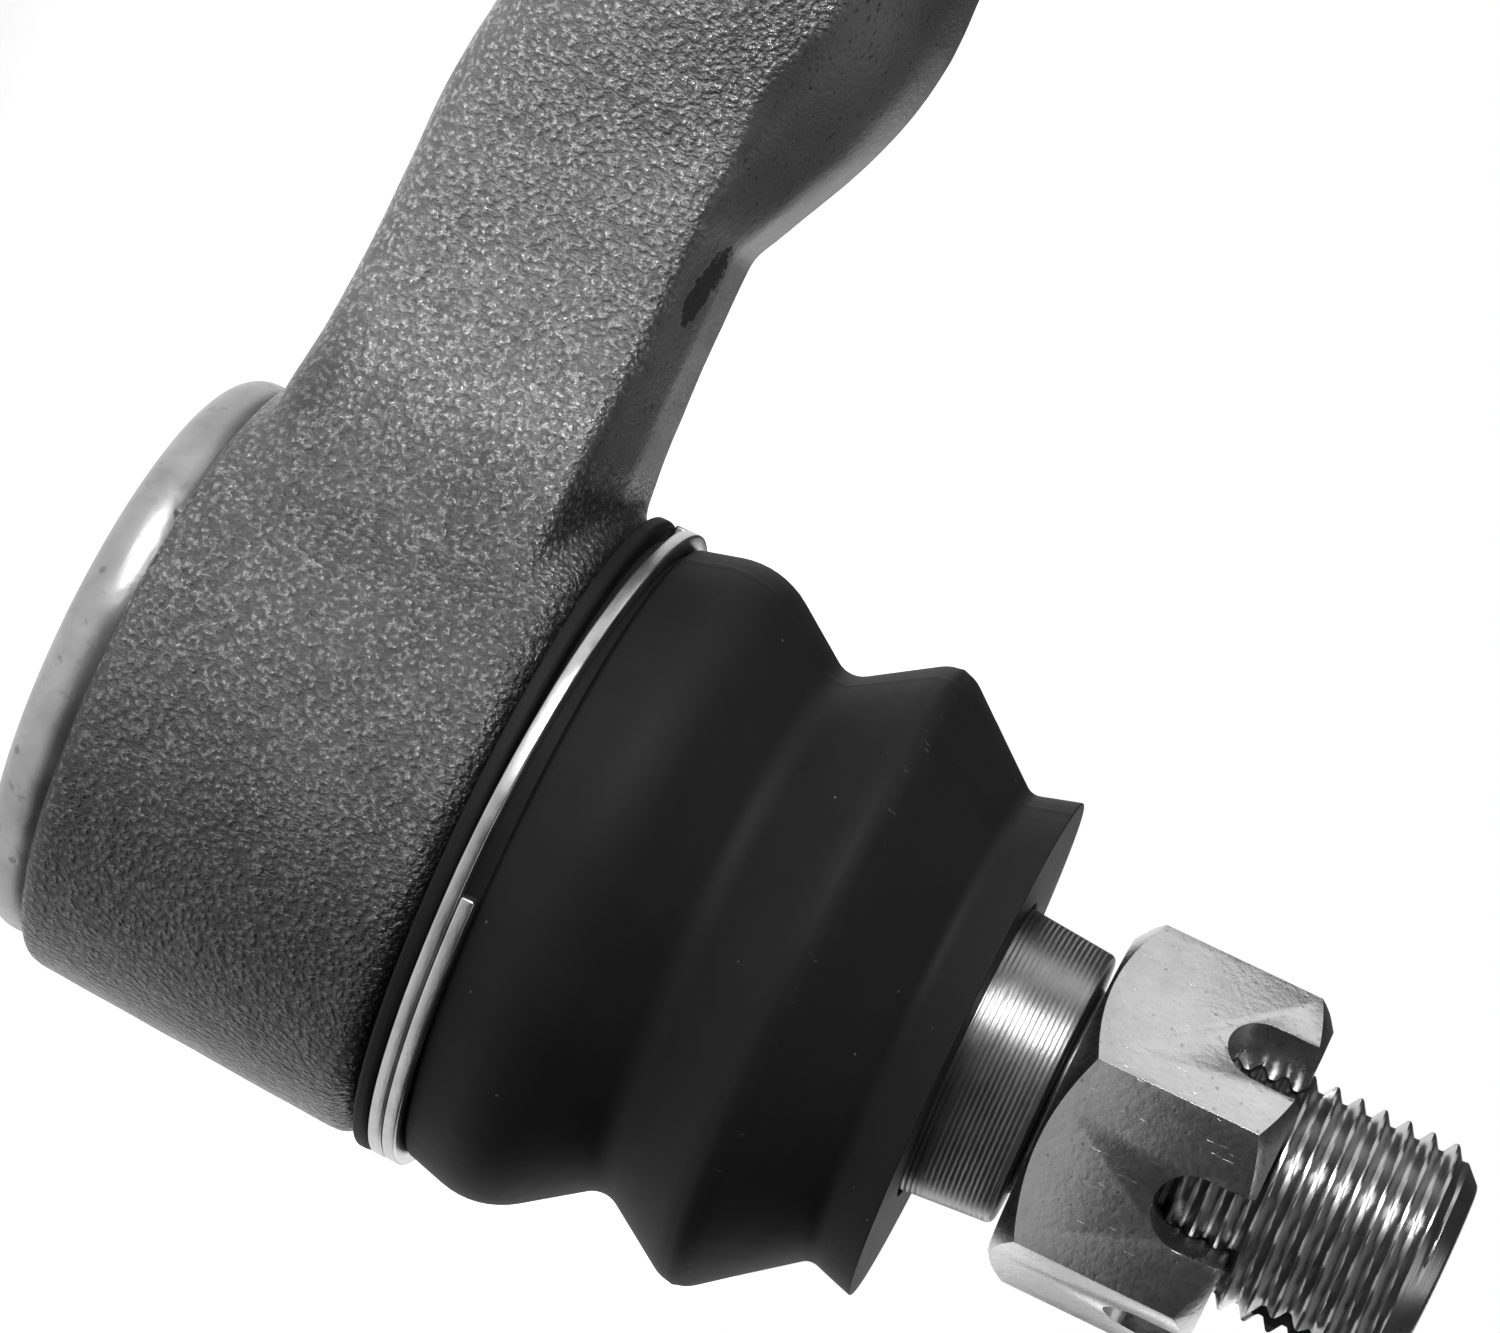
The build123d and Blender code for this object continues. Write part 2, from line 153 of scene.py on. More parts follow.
socket_hole_radius = 14.0
socket_low_z, socket_high_z = -9.25, 9.3
socket_low_radius, socket_high_radius = 15.75, 16.75
arm_half_depth, arm_half_width = 7.3, 7.95
ridge_z = 6.4  # where the rough flank meets the trimmed one
crest_half_depth = 3.0
root_x, root_radius, root_half_depth = -9.0, 15.0, 13.2  # where the arm grows out of the socket
neck_x, swell_x, boss_x, mouth_x = -27.0, -30.0, -43.5, -82.0
boss_z, boss_radius = 2.45, 10.5
boss_pocket_radius, boss_pocket_x = 7.6, -47.0
flats_x, flats_half = -70.0, 9.5
forging_voxel = 0.36


def rounded(corners, closed=True, steps=6):
    """Points along an outline of (u, v, fillet radius) corners, with its corners rounded."""
    points, count = [], len(corners)
    for index, (u, v, radius) in enumerate(corners):
        here = Vector((u, v))
        if radius <= 0 or (not closed and index in (0, count - 1)):
            points.append(here)
            continue
        before = Vector(corners[index - 1][:2]) - here
        after = Vector(corners[(index + 1) % count][:2]) - here
        half = before.angle(after) / 2
        reach = min(radius / math.tan(half), 0.49 * before.length, 0.49 * after.length)
        radius = reach * math.tan(half)
        centre = here + (before.normalized() + after.normalized()).normalized() * radius / math.sin(half)
        start = here + before.normalized() * reach - centre
        end = here + after.normalized() * reach - centre
        sweep = start.angle_signed(end)
        for step in range(steps + 1):
            turn = -sweep * step / steps
            points.append(centre + Matrix.Rotation(turn, 2) @ start)
    return [tuple(point) for point in points]


def divided(points, longest, closed=True):
    """The same outline with its long runs cut into shorter ones."""
    finer = []
    pairs = list(zip(points, points[1:] + points[:1])) if closed else list(zip(points, points[1:]))
    for a, b in pairs:
        cuts = max(1, math.ceil(math.dist(a, b) / longest))
        finer += [tuple(a[i] + (b[i] - a[i]) * k / cuts for i in (0, 1)) for k in range(cuts)]
    return finer if closed else finer + [points[-1]]


def grid_faces(rows, columns, wrap_rows=False):
    """Quads over rows of points that each go round once."""
    faces = []
    for r in range(rows if wrap_rows else rows - 1):
        low, high = r * columns, (r + 1) % rows * columns
        for c in range(columns):
            d = (c + 1) % columns
            faces.append((low + c, low + d, high + d, high + c))
    return faces


def solid(name, points, faces, smooth=True):
    """A mesh object from points in millimetres, with its doubles merged and its faces outwards."""
    mesh = bpy.data.meshes.new(name)
    mesh.from_pydata([tuple(float(c) * MM for c in p) for p in points], [], faces)
    work = bmesh.new()
    work.from_mesh(mesh)
    bmesh.ops.remove_doubles(work, verts=work.verts, dist=1e-7)
    bmesh.ops.recalc_face_normals(work, faces=work.faces)
    work.to_mesh(mesh)
    work.free()
    mesh.polygons.foreach_set("use_smooth", [smooth] * len(mesh.polygons))
    piece = bpy.data.objects.new(name, mesh)
    bpy.context.scene.collection.objects.link(piece)
    return piece


def turned(name, outline, segments=192, shape=None):
    """A closed outline of (radius, height) turned round the Z axis. shape may move its points."""
    angles = np.arange(segments) * 2 * math.pi / segments
    rows = [
        np.stack([r * np.cos(angles), r * np.sin(angles), np.full(segments, z)], axis=1)
        for r, z in outline
    ]
    points = np.concatenate(rows)
    if shape:
        points = shape(points)
    return solid(name, points, grid_faces(len(outline), segments, wrap_rows=True))


def finished(piece, name):
    """The piece with its modifiers made real, under a plain name, at the origin."""
    graph = bpy.context.evaluated_depsgraph_get()
    mesh = bpy.data.meshes.new_from_object(piece.evaluated_get(graph))
    result = bpy.data.objects.new(name, mesh)
    bpy.context.scene.collection.objects.link(result)
    bpy.data.objects.remove(piece)
    return result


def arm_section():
    """The arm's outline across its length: flat flanks, a ridge each side and a narrow crest."""
    corners = [
        (-arm_half_depth, -arm_half_width, 2.6),
        (arm_half_depth, -arm_half_width, 2.6),
        (arm_half_depth, ridge_z, 1.1),
        (crest_half_depth, arm_half_width, 2.4),
        (-crest_half_depth, arm_half_width, 2.4),
        (-arm_half_depth, ridge_z, 0.7),
    ]
    return divided(rounded(corners), 0.9)


def arm_rows():
    """Sections from inside the socket's wall, through the neck, to the boss."""
    section = np.array(arm_section())
    y, z = section[:, 0], section[:, 1]
    rows = []
    for step in np.linspace(0, 1, 14):
        nominal = root_x + (neck_x - root_x) * step
        near = (neck_x - nominal) / (neck_x - root_x)
        depth = 1 + (root_half_depth / arm_half_depth - 1) * near**2.4
        width = 1 + 0.06 * near**3
        start = -np.sqrt(np.maximum(root_radius**2 - (y * depth) ** 2, 1.0))
        rows.append(np.stack([start + (neck_x - start) * step, y * depth, z * width], axis=1))
    for x in np.linspace(swell_x, boss_x - 2.5, 28):
        along = min(1.0, (swell_x - x) / (swell_x - boss_x))
        quick, late = math.sin(along * math.pi / 2), along**2 * (3 - 2 * along)
        lift = np.clip((z - ridge_z) / (arm_half_width - ridge_z), 0, 1)
        swell = late + (quick - late) * lift
        angle = np.arctan2(z, y)
        round_y, round_z = boss_radius * np.cos(angle), boss_z + boss_radius * np.sin(angle)
        rows.append(
            np.stack([np.full_like(y, x), y + (round_y - y) * swell, z + (round_z - z) * swell], axis=1)
        )
    return rows


rows = arm_rows()
columns = len(rows[0])
end_caps = [tuple(range(columns)), tuple(range((len(rows) - 1) * columns, len(rows) * columns))]
arm = solid("arm_rough", np.concatenate(rows), grid_faces(len(rows), columns) + end_caps)

socket_outline = rounded(
    [
        (socket_hole_radius, socket_low_z, 0),
        (socket_low_radius, socket_low_z, 0.9),
        (socket_high_radius, socket_high_z, 1.3),
        (socket_hole_radius, socket_high_z, 0),
    ]
)
socket = turned("socket_rough", divided(socket_outline, 1.5))


def lay_along_arm(points):
    """Turns a shape made round Z so that its height runs along the boss, and cuts the flats."""
    laid = np.stack([points[:, 2], points[:, 1], points[:, 0] + boss_z], axis=1)
    on_flats = laid[:, 0] < flats_x
    laid[on_flats, 1] = np.clip(laid[on_flats, 1], -flats_half, flats_half)
    return laid


boss_outline = [
    (0.01, boss_x + 1.0),
    (boss_radius, boss_x + 1.0),
    (boss_radius, flats_x + 0.4),
    (boss_radius, flats_x - 0.1),
    (boss_radius, mouth_x + 0.9),
    (boss_radius - 0.9, mouth_x + 0.02),
    (boss_pocket_radius, mouth_x + 0.02),
    (boss_pocket_radius, boss_pocket_x),
    (0.01, boss_pocket_x),
]
boss = turned("boss_rough", divided(boss_outline, 1.5), shape=lay_along_arm)

rough_work = bmesh.new()
for part in (arm, socket, boss):
    rough_work.from_mesh(part.data)
    bpy.data.objects.remove(part)
rough_mesh = bpy.data.meshes.new("forging_rough")
rough_work.to_mesh(rough_mesh)
rough_work.free()
forging_rough = bpy.data.objects.new("forging_rough", rough_mesh)
bpy.context.scene.collection.objects.link(forging_rough)
remesh = forging_rough.modifiers.new("join", "REMESH")
remesh.mode = "VOXEL"
remesh.voxel_size = forging_voxel * MM
soften = forging_rough.modifiers.new("soften", "SMOOTH")
soften.factor = 0.5
soften.iterations = 6
forging = finished(forging_rough, "forging")


def hammer(mesh, depth, size):
    """Moves a skin's points in and out a little, as uneven forging and blasting leave it."""
    places, normals = (np.empty(len(mesh.vertices) * 3) for _ in range(2))
    mesh.vertices.foreach_get("co", places)
    mesh.vertex_normals.foreach_get("vector", normals)
    lumps = [Vector(place) / (size * MM) for place in places.reshape(-1, 3)]
    swing = np.array([noise.noise(lump) + 0.5 * noise.noise(lump * 2.3) for lump in lumps])
    places += (normals.reshape(-1, 3) * (swing * depth * MM)[:, None]).ravel()
    mesh.vertices.foreach_set("co", places)


hammer(forging.data, 0.05, 3.5)
forging.data.polygons.foreach_set("use_smooth", [True] * len(forging.data.polygons))


class Signal:
    """An output inside a material. Sums on it add Math nodes to the material."""

    def __init__(self, tree, socket=None):
        self.tree, self.socket = tree, socket

    def node(self, kind, settings=None, sockets=None, output=0):
        """A new node of a kind, with its settings, then the values or links of its sockets."""
        made = self.tree.nodes.new(kind)
        for key, value in (settings or {}).items():
            setattr(made, key, value)
        for key, value in (sockets or {}).items():
            if isinstance(value, Signal):
                self.tree.links.new(value.socket, made.inputs[key])
            else:
                made.inputs[key].default_value = value
        return Signal(self.tree, made.outputs[output])

    def maths(self, operation, a, b=0.0):
        return self.node("ShaderNodeMath", {"operation": operation}, {0: a, 1: b})

    def __add__(self, other):
        return self.maths("ADD", self, other)

    def __sub__(self, other):
        return self.maths("SUBTRACT", self, other)

    def __mul__(self, other):
        return self.maths("MULTIPLY", self, other)

    def __rsub__(self, other):
        return self.maths("SUBTRACT", other, self)

    __radd__, __rmul__ = __add__, __mul__

    def between(self, low, high):
        """0 below low, 1 above high, and a smooth rise between them."""
        settings = {"interpolation_type": "SMOOTHSTEP"}
        return self.node("ShaderNodeMapRange", settings, {"Value": self, "From Min": low, "From Max": high})


class Finish:
    """A material on Object coordinates in millimetres, with the textures that finishes share."""

    def __init__(self, name, **fixed):
        self.material = bpy.data.materials.new(name)
        self.material.use_nodes = True
        self.start = Signal(self.material.node_tree)
        self.shader = self.material.node_tree.nodes["Principled BSDF"]
        for key, value in fixed.items():
            self.input(key).default_value = value
        place = self.start.node("ShaderNodeTexCoord", output="Object")
        self.place = self.start.node(
            "ShaderNodeMapping", {"vector_type": "POINT"}, {"Vector": place, "Scale": (1000, 1000, 1000)}
        )
        split = self.start.node("ShaderNodeSeparateXYZ", sockets={"Vector": self.place})
        outputs = split.socket.node.outputs
        self.x, self.y, self.z = (Signal(self.start.tree, outputs[axis]) for axis in "XYZ")

    def input(self, key):
        """The shader's input of a name, written with underscores."""
        return self.shader.inputs[key.replace("_", " ").title().replace("Ior", "IOR")]

    def stretched(self, x, y, z):
        """The place with each axis stretched, for grain that runs one way."""
        return self.start.node("ShaderNodeMapping", sockets={"Vector": self.place, "Scale": (x, y, z)})

    def grain(self, size, detail=2.0, roughness=0.5, place=None, distortion=0.0):
        """Noise with lumps of about a size in millimetres."""
        sockets = {
            "Vector": place or self.place,
            "Scale": 1 / size,
            "Detail": detail,
            "Roughness": roughness,
            "Distortion": distortion,
        }
        return self.start.node("ShaderNodeTexNoise", {"noise_dimensions": "3D"}, sockets)

    def cells(self, size):
        """Distance from the middle of cells of about a size in millimetres."""
        sockets = {"Vector": self.place, "Scale": 1 / size}
        return self.start.node("ShaderNodeTexVoronoi", {"feature": "F1"}, sockets)

    def grey(self, amount):
        """A grey colour from a value."""
        return self.start.node("ShaderNodeCombineColor", sockets={0: amount, 1: amount, 2: amount})

    def set(self, **links):
        """Links varying values to the shader."""
        for key, value in links.items():
            self.start.tree.links.new(value.socket, self.input(key))

    def raised(self, *layers):
        """The normal bumped by (height, depth in millimetres) layers, one on the other."""
        normal = None
        for height, depth in layers:
            sockets = {"Height": height, "Distance": depth * MM, "Strength": 1.0}
            if normal:
                sockets["Normal"] = normal
            normal = self.start.node("ShaderNodeBump", sockets=sockets)
        self.set(normal=normal)


scar_x, scar_z = -27.7, 7.45  # a lap left by the forging


def forged_skin():
    finish = Finish("forged_skin", metallic=0.8)
    on_arm = (1 - finish.x.between(-19.0, -17.0)) * finish.x.between(-56.0, -48.0)
    lift = finish.x.between(-44.0, -36.0)
    ridge = 8.9 - lift * (8.9 - ridge_z)
    wander = finish.grain(1.6, 3.0) * 0.9 - 0.45
    trimmed = (finish.z - ridge + wander).between(-0.3, 0.4) * on_arm
    coarse = finish.grain(0.26, 3.0, 0.62, finish.stretched(1.25, 1, 0.85))
    lumps = finish.cells(0.36)
    fine = finish.grain(0.11, 2.0)
    patches = finish.grain(5.0, 3.0)
    pits = finish.cells(0.9).between(0.03, 0.16)
    dashes = 1 - finish.grain(0.16, 1.0, 0.5, finish.stretched(0.35, 1, 1)).between(0.66, 0.72)
    sparkle = (coarse - lumps * 0.5 + fine * 0.4).between(0.42, 0.72)
    on_socket = finish.x.between(-21.0, -14.0)
    # painted shade: the socket's side away from the arm, turned from the key light, is darkened in the
    # skin's colour
    oiled_metal_and_far_shade = finish.x.between(-7.0, 9.0)
    # neck: painted shade, the skin's colour darkened in the crease where the arm grows out of the socket
    neck = finish.x.between(-22.0, -19.0) * (1 - finish.x.between(-16.0, -12.5))
    cavity = (coarse - lumps * 0.35).between(0.2, 0.5)
    tone = 0.07 + cavity * 0.06 + sparkle * 0.16 + patches * 0.10
    # The skin's colour is darker on the socket than on the arm, with painted shade at the neck and on the
    # socket's far side.
    tone = tone * (1.15 - on_socket * 0.42 - neck * 0.25 - oiled_metal_and_far_shade * 0.42)
    smooth_tone = (0.09 + patches * 0.06) * (pits * 0.6 + 0.4) * (dashes * 0.6 + 0.4)
    scar_place = (finish.x - scar_x) * 0.45 + (finish.z - 7.0) * 0.06
    across_scar = finish.z - scar_z + (finish.x - scar_x) * 0.09
    ragged = (finish.grain(0.55, 4.0, 0.65) - 0.5) * 2.6
    scar_reach = scar_place * scar_place + across_scar * across_scar * 9.0 + ragged
    scar = (1 - scar_reach.between(0.75, 1.0)) * on_arm * (1 - finish.y.between(-2.0, 0.0))
    skin = (tone + (smooth_tone - tone) * trimmed) * (1 - scar * 0.75)
    rough = 0.30 - sparkle * 0.06 + trimmed * 0.16 + scar * 0.2
    height = (coarse * 0.9 - lumps * 0.45) * (1 - trimmed * 0.9) * (1 - neck * 0.45)
    finish.set(base_color=finish.grey(skin), roughness=rough)
    finish.raised((height - scar * 1.2, 0.27), (fine + pits * trimmed * 0.6, 0.02))
    return finish.material


forging.data.materials.clear()
forging.data.materials.append(forged_skin())
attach(forging, "housing")
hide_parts("housing")

# ---------------------------------------------------------------------------------------------
# Machined socket: the bore, mouth and boot collar cut in the forging, and the turned rim that
# is rolled over the end cover. Bright turned steel with stains and a few pits.

rim_radius, rim_rounding, rim_lip_radius = 14.75, 2.2, 11.4
rim_low_z, cover_low_z, cover_high_z = -12.0, -11.0, -9.8
cover_radius, bore_radius = 13.25, 12.6
throat_radius, mouth_radius = 9.25, 12.4
throat_low_z, throat_high_z, bore_high_z = 7.0, 7.5, 3.2
collar_radius, collar_groove_radius, collar_high_z = 14.3, 13.6, 12.3
groove_low_z, groove_high_z = 10.2, 11.7

machined_outline = rounded(
    [
        (rim_lip_radius, rim_low_z, 0.35),
        (rim_radius, rim_low_z, rim_rounding),
        (rim_radius, socket_low_z + 0.6, 0),
        (socket_hole_radius + 0.05, socket_low_z + 0.6, 0),
        (socket_hole_radius + 0.05, socket_high_z - 0.05, 0),
        (collar_radius, socket_high_z - 0.05, 0),
        (collar_radius, groove_low_z, 0.1),
        (collar_groove_radius, groove_low_z, 0.1),
        (collar_groove_radius, groove_high_z, 0.1),
        (collar_radius, groove_high_z, 0.1),
        (collar_radius, collar_high_z, 0.3),
        (mouth_radius, collar_high_z, 0.3),
        (throat_radius, throat_high_z, 0.2),
        (throat_radius, throat_low_z, 0.2),
        (bore_radius, bore_high_z, 0.2),
        (bore_radius, cover_high_z, 0.1),
        (cover_radius, cover_high_z, 0.1),
        (cover_radius, cover_low_z, 0.1),
        (rim_lip_radius, cover_low_z, 0.2),
    ],
    steps=8,
)
machined_socket = turned("machined_socket", machined_outline, 256)


def turned_bright():
    finish = Finish("turned_bright", metallic=1.0)
    lines = finish.grain(0.05, 1.0, place=finish.stretched(0.02, 0.02, 1.6))
    stains = finish.grain(3.0, 3.0, 0.6, distortion=0.6)
    blots = finish.grain(1.1, 4.0, 0.7).between(0.60, 0.72)
    pits = 1 - finish.cells(1.9).between(0.06, 0.16)
    tone = 0.17 + stains * 0.26 - blots * 0.08 - pits * 0.12
    finish.set(
        base_color=finish.grey(tone),
        roughness=0.30 + stains * 0.12 + blots * 0.12,
    )
    finish.raised((stains, 0.05), (lines - pits * 3, 0.006))
    return finish.material


bright = turned_bright()
machined_socket.data.materials.append(bright)
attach(machined_socket, "housing")
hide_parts("housing")

# ---------------------------------------------------------------------------------------------
# Boss thread: the drilled and tapped hole in the boss that screws on to the tie rod, with a
# chamfer at its mouth and a drill point at its end.

rod_pitch, rod_crest, rod_root = 1.5, 6.19, 7.0
rod_thread_length, rod_chamfer = 36.0, 0.9


def thread_depth(phase, crest_share, root_share):
    """How deep a thread is at a phase of its pitch: 0 on the crest, 1 at the root."""
    from_root = np.abs(np.mod(phase, 1.0) - 0.5) * 2
    return np.clip((1 - crest_share - from_root) / (1 - crest_share - root_share), 0, 1)


def plain_ring(radius, z, angles):
    """One ring of points."""
    return np.stack([radius * np.cos(angles), radius * np.sin(angles), np.full_like(angles, z)], axis=1)


def threaded_rows(heights, angles, pitch, crest, root, limit=None):
    """Rings of points whose radius follows a right-hand thread, kept within a limit."""
    rows = []
    for z in heights:
        depth = thread_depth(z / pitch - angles / (2 * math.pi), 0.14, 0.22)
        radius = crest + (root - crest) * depth
        if limit:
            radius = limit(radius, z)
        rows.append(plain_ring(radius, z, angles))
    return rows


tap_angles = np.arange(120) * 2 * math.pi / 120
tap_heights = np.arange(0.05, rod_thread_length, rod_pitch / 12)


def countersunk(radius, z):
    """The bore opens out to its chamfer at the mouth and closes to the drill's radius."""
    at_mouth = rod_crest + max(0.0, rod_chamfer + 0.05 - z)
    run_out = rod_crest + (rod_root - rod_crest) * min(1.0, (rod_thread_length - z) / 2)
    return np.minimum(np.maximum(radius, at_mouth), run_out)


sleeve_radius = boss_pocket_radius + 0.3
drill_point = rod_crest / math.tan(math.radians(59))
tap_rows = [
    plain_ring(radius, z, tap_angles)
    for radius, z in ((sleeve_radius, rod_thread_length), (sleeve_radius, 0.0), (rod_root + 0.1, 0.0))
]
tap_rows += threaded_rows(tap_heights, tap_angles, rod_pitch, rod_crest, rod_root, countersunk)
tap_rows += [
    plain_ring(radius, rod_thread_length + beyond, tap_angles)
    for radius, beyond in ((rod_crest, 0.0), (0.02, drill_point), (0.02, 5.5), (sleeve_radius - 1, 5.5))
]
tap_points = np.concatenate(tap_rows)
tap_points = np.stack([mouth_x + tap_points[:, 2], tap_points[:, 1], boss_z + tap_points[:, 0]], axis=1)
boss_thread = solid("boss_thread", tap_points, grid_faces(len(tap_rows), len(tap_angles), wrap_rows=True))
boss_thread.data.materials.append(bright)
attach(boss_thread, "housing")
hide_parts("housing")

# ---------------------------------------------------------------------------------------------
# End cover: a disc pressed from sheet steel, domed outwards, held by the rolled rim.

cover_dome = 0.6
cover_outline = rounded(
    [
        (0.01, cover_low_z - cover_dome, 0),
        (7.9, cover_low_z - cover_dome, 0.8),
        (8.8, cover_low_z, 0.8),
        (cover_radius - 0.05, cover_low_z, 0.1),
        (cover_radius - 0.05, cover_high_z, 0.1),
        (8.1, cover_high_z, 0.8),
        (7.2, cover_high_z - cover_dome, 0.8),
        (0.01, cover_high_z - cover_dome, 0),
    ]
)
end_cover = turned("end_cover_pressing", cover_outline, 160)


def pressed_sheet():
    finish = Finish("pressed_sheet", metallic=0.9)
    rolled = finish.grain(0.3, 2.0, place=finish.stretched(0.05, 1, 1))
    stains = finish.grain(2.5, 4.0, 0.6)
    finish.set(base_color=finish.grey(0.20 + stains * 0.16 + rolled * 0.05), roughness=0.34 + stains * 0.2)
    finish.raised((rolled + stains, 0.02))
    return finish.material


sheet_finish = pressed_sheet()
end_cover.data.materials.append(sheet_finish)
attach(end_cover, "housing")
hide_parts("end_cover")

# ---------------------------------------------------------------------------------------------
# Bearings, disc spring and lip ring: inside the socket and the boot, so they keep their shapes
# and take only their finishes. The bearings are moulded acetal and the springs oiled steel.


def moulded_acetal():
    finish = Finish("moulded_acetal", subsurface_weight=0.1)
    cloud = finish.grain(3.0, 2.0)
    colour = finish.start.node(
        "ShaderNodeMix",
        {"data_type": "RGBA"},
        {"Factor": cloud, "A": (0.80, 0.79, 0.74, 1.0), "B": (0.88, 0.87, 0.83, 1.0)},
        output=2,
    )
    finish.set(base_color=colour, roughness=0.38 + cloud * 0.1)
    finish.raised((finish.grain(0.15), 0.008))
    return finish.material


def oiled_steel():
    finish = Finish("oiled_steel", metallic=1.0)
    stains = finish.grain(1.5, 3.0, 0.6)
    finish.set(base_color=finish.grey(0.16 + stains * 0.12), roughness=0.25 + stains * 0.2)
    finish.raised((finish.grain(0.2, 2.0), 0.01))
    return finish.material


def dress(node, material):
    """Gives a CAD node its finish."""
    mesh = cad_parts[node].data
    mesh.materials.clear()
    mesh.materials.append(material)


acetal = moulded_acetal()
oiled_metal_and_far_shade = oiled_steel()
for node, material in (
    ("ball_seat", acetal),
    ("pressure_cup", acetal),
    ("disc_spring", oiled_metal_and_far_shade),
    ("boot_lip_ring", oiled_metal_and_far_shade),
):
    dress(node, material)

# ---------------------------------------------------------------------------------------------
# Ball stud: forged, then turned. The ball is polished, the taper keeps its turning marks, and
# the thread is rolled. A cotter hole crosses the thread.

ball_radius, ball_flat_z = 10.0, -8.6
stud_neck_radius, neck_end_z = 5.5, 16.0
taper_low_z, taper_high_z, taper_high_radius = 23.5, 38.5, 7.05
taper_low_radius = taper_high_radius + (taper_high_z - taper_low_z) / 12
relief_radius, relief_high_z = 5.3, 40.0
stud_pitch, stud_crest, stud_root = 1.25, 6.0, 5.38
chamfer_z, tip_z, tip_radius = 57.1, 58.6, 4.5
cotter_z, cotter_radius = 52.9, 1.6
clock = math.radians(-18.7)  # the cotter hole's direction, from +X

stud_angles = np.arange(144) * 2 * math.pi / 144
ball_top_z = math.sqrt(ball_radius**2 - stud_neck_radius**2)
ball_ends = [math.asin(z / ball_radius) for z in (ball_flat_z, ball_top_z)]
ball_arc = [(ball_radius * math.cos(a), ball_radius * math.sin(a)) for a in np.linspace(*ball_ends, 40)]
shank = rounded(
    [
        (stud_neck_radius, ball_top_z, 0),
        (stud_neck_radius, neck_end_z, 3.0),
        (taper_low_radius, taper_low_z, 1.0),
        (taper_high_radius, taper_high_z, 0.35),
        (relief_radius, taper_high_z, 0.3),
        (relief_radius, relief_high_z, 0),
    ],
    closed=False,
)
stud_rows = [plain_ring(0.02, ball_flat_z, stud_angles)]
stud_rows += [plain_ring(r, z, stud_angles) for r, z in ball_arc + divided(shank[1:], 1.0, closed=False)]


def run_out(radius, z):
    """The thread rises out of the relief and is cut back by the chamfer at the tip."""
    start = relief_radius + (z - relief_high_z) * 0.9
    end = stud_crest - (z - chamfer_z) * (stud_crest - tip_radius) / (tip_z - chamfer_z)
    return np.minimum(radius, min(start, end))


thread_heights = np.arange(relief_high_z + 0.05, tip_z - 0.3, stud_pitch / 14)
stud_rows += threaded_rows(thread_heights, stud_angles, stud_pitch, stud_crest, stud_root, run_out)
tip_round = [(0.25, 0.25), (0.1, 0.1), (-0.1, 0.02), (-0.4, 0.0), (0.02 - tip_radius, 0.0)]
stud_rows += [plain_ring(tip_radius + out, tip_z - down, stud_angles) for out, down in tip_round]
stud_rough = solid("stud_rough", np.concatenate(stud_rows), grid_faces(len(stud_rows), len(stud_angles)))


def close_ends(piece):
    """Fills the pinholes left at the ends of a turned shape."""
    work = bmesh.new()
    work.from_mesh(piece.data)
    bmesh.ops.holes_fill(work, edges=[e for e in work.edges if e.is_boundary], sides=0)
    bmesh.ops.recalc_face_normals(work, faces=work.faces)
    work.to_mesh(piece.data)
    work.free()


close_ends(stud_rough)


def cut(piece, cutter, operation="DIFFERENCE"):
    """Cuts one solid with another, and leaves the cutter out of the scene."""
    boolean = piece.modifiers.new("cut", "BOOLEAN")
    boolean.operation, boolean.solver, boolean.object = operation, "EXACT", cutter
    name = piece.name
    piece.name = name + "_before"
    result = finished(piece, name)
    bpy.data.objects.remove(cutter)
    return result


drill_outline = [(0.01, -9), (2.3, -9), (2.3, -6.4), (cotter_radius, -5.45)]
drill_outline += [(r, -z) for r, z in reversed(drill_outline)]
turn_to_hole = Matrix.Rotation(clock, 3, "Z") @ Matrix.Rotation(math.pi / 2, 3, "Y")


def lay_across_stud(points):
    """Turns a drill made round Z so that it crosses the thread."""
    return points @ np.array(turn_to_hole).T + np.array([0, 0, cotter_z])


drill = turned("drill", drill_outline, 48, shape=lay_across_stud)
stud = cut(stud_rough, drill)
stud.name = "stud"
stud.data.polygons.foreach_set("use_smooth", [True] * len(stud.data.polygons))
stud.data.set_sharp_from_angle(angle=math.radians(35))


def stud_steel():
    finish = Finish("stud_steel", metallic=1.0)
    wobble = finish.grain(1.5, 2.0) * 0.3
    rings = finish.start.node(
        "ShaderNodeTexWave",
        {"wave_type": "BANDS", "bands_direction": "Z"},
        {"Vector": finish.place, "Scale": 1.2, "Distortion": 0.8, "Detail": 2.0, "Detail Scale": 3.0},
    )
    fine_rings = finish.grain(0.06, 1.0, place=finish.stretched(0.03, 0.03, 1.0))
    stains = finish.grain(2.2, 4.0, 0.65)
    on_taper = finish.z.between(14.0, 16.0) * (1 - finish.z.between(38.3, 38.6))
    tone = 0.20 + stains * 0.18 - on_taper * 0.11 + fine_rings * 0.06
    finish.set(base_color=finish.grey(tone), roughness=0.22 + stains * 0.14 + wobble * on_taper * 0.3)
    finish.raised((rings * on_taper, 0.014), (fine_rings, 0.008))
    return finish.material


stud.data.materials.clear()
stud.data.materials.append(stud_steel())
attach(stud, "stud")
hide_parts("ball_stud")

# ---------------------------------------------------------------------------------------------
# Castle nut: cold-formed hexagon with chamfered corners, six round-bottomed slots for the
# cotter pin and a tapped bore. Plated, then scuffed along its faces and edges.

nut_low_z, nut_high_z = 38.9, 49.3
nut_half_flats = 8.5
nut_corner = nut_half_flats / math.cos(math.radians(30))
slot_half_width, slot_depth = 1.875, 4.3
cone_drop = 1.2
nut_drill_radius, nut_mouth_radius = 5.4, 6.5

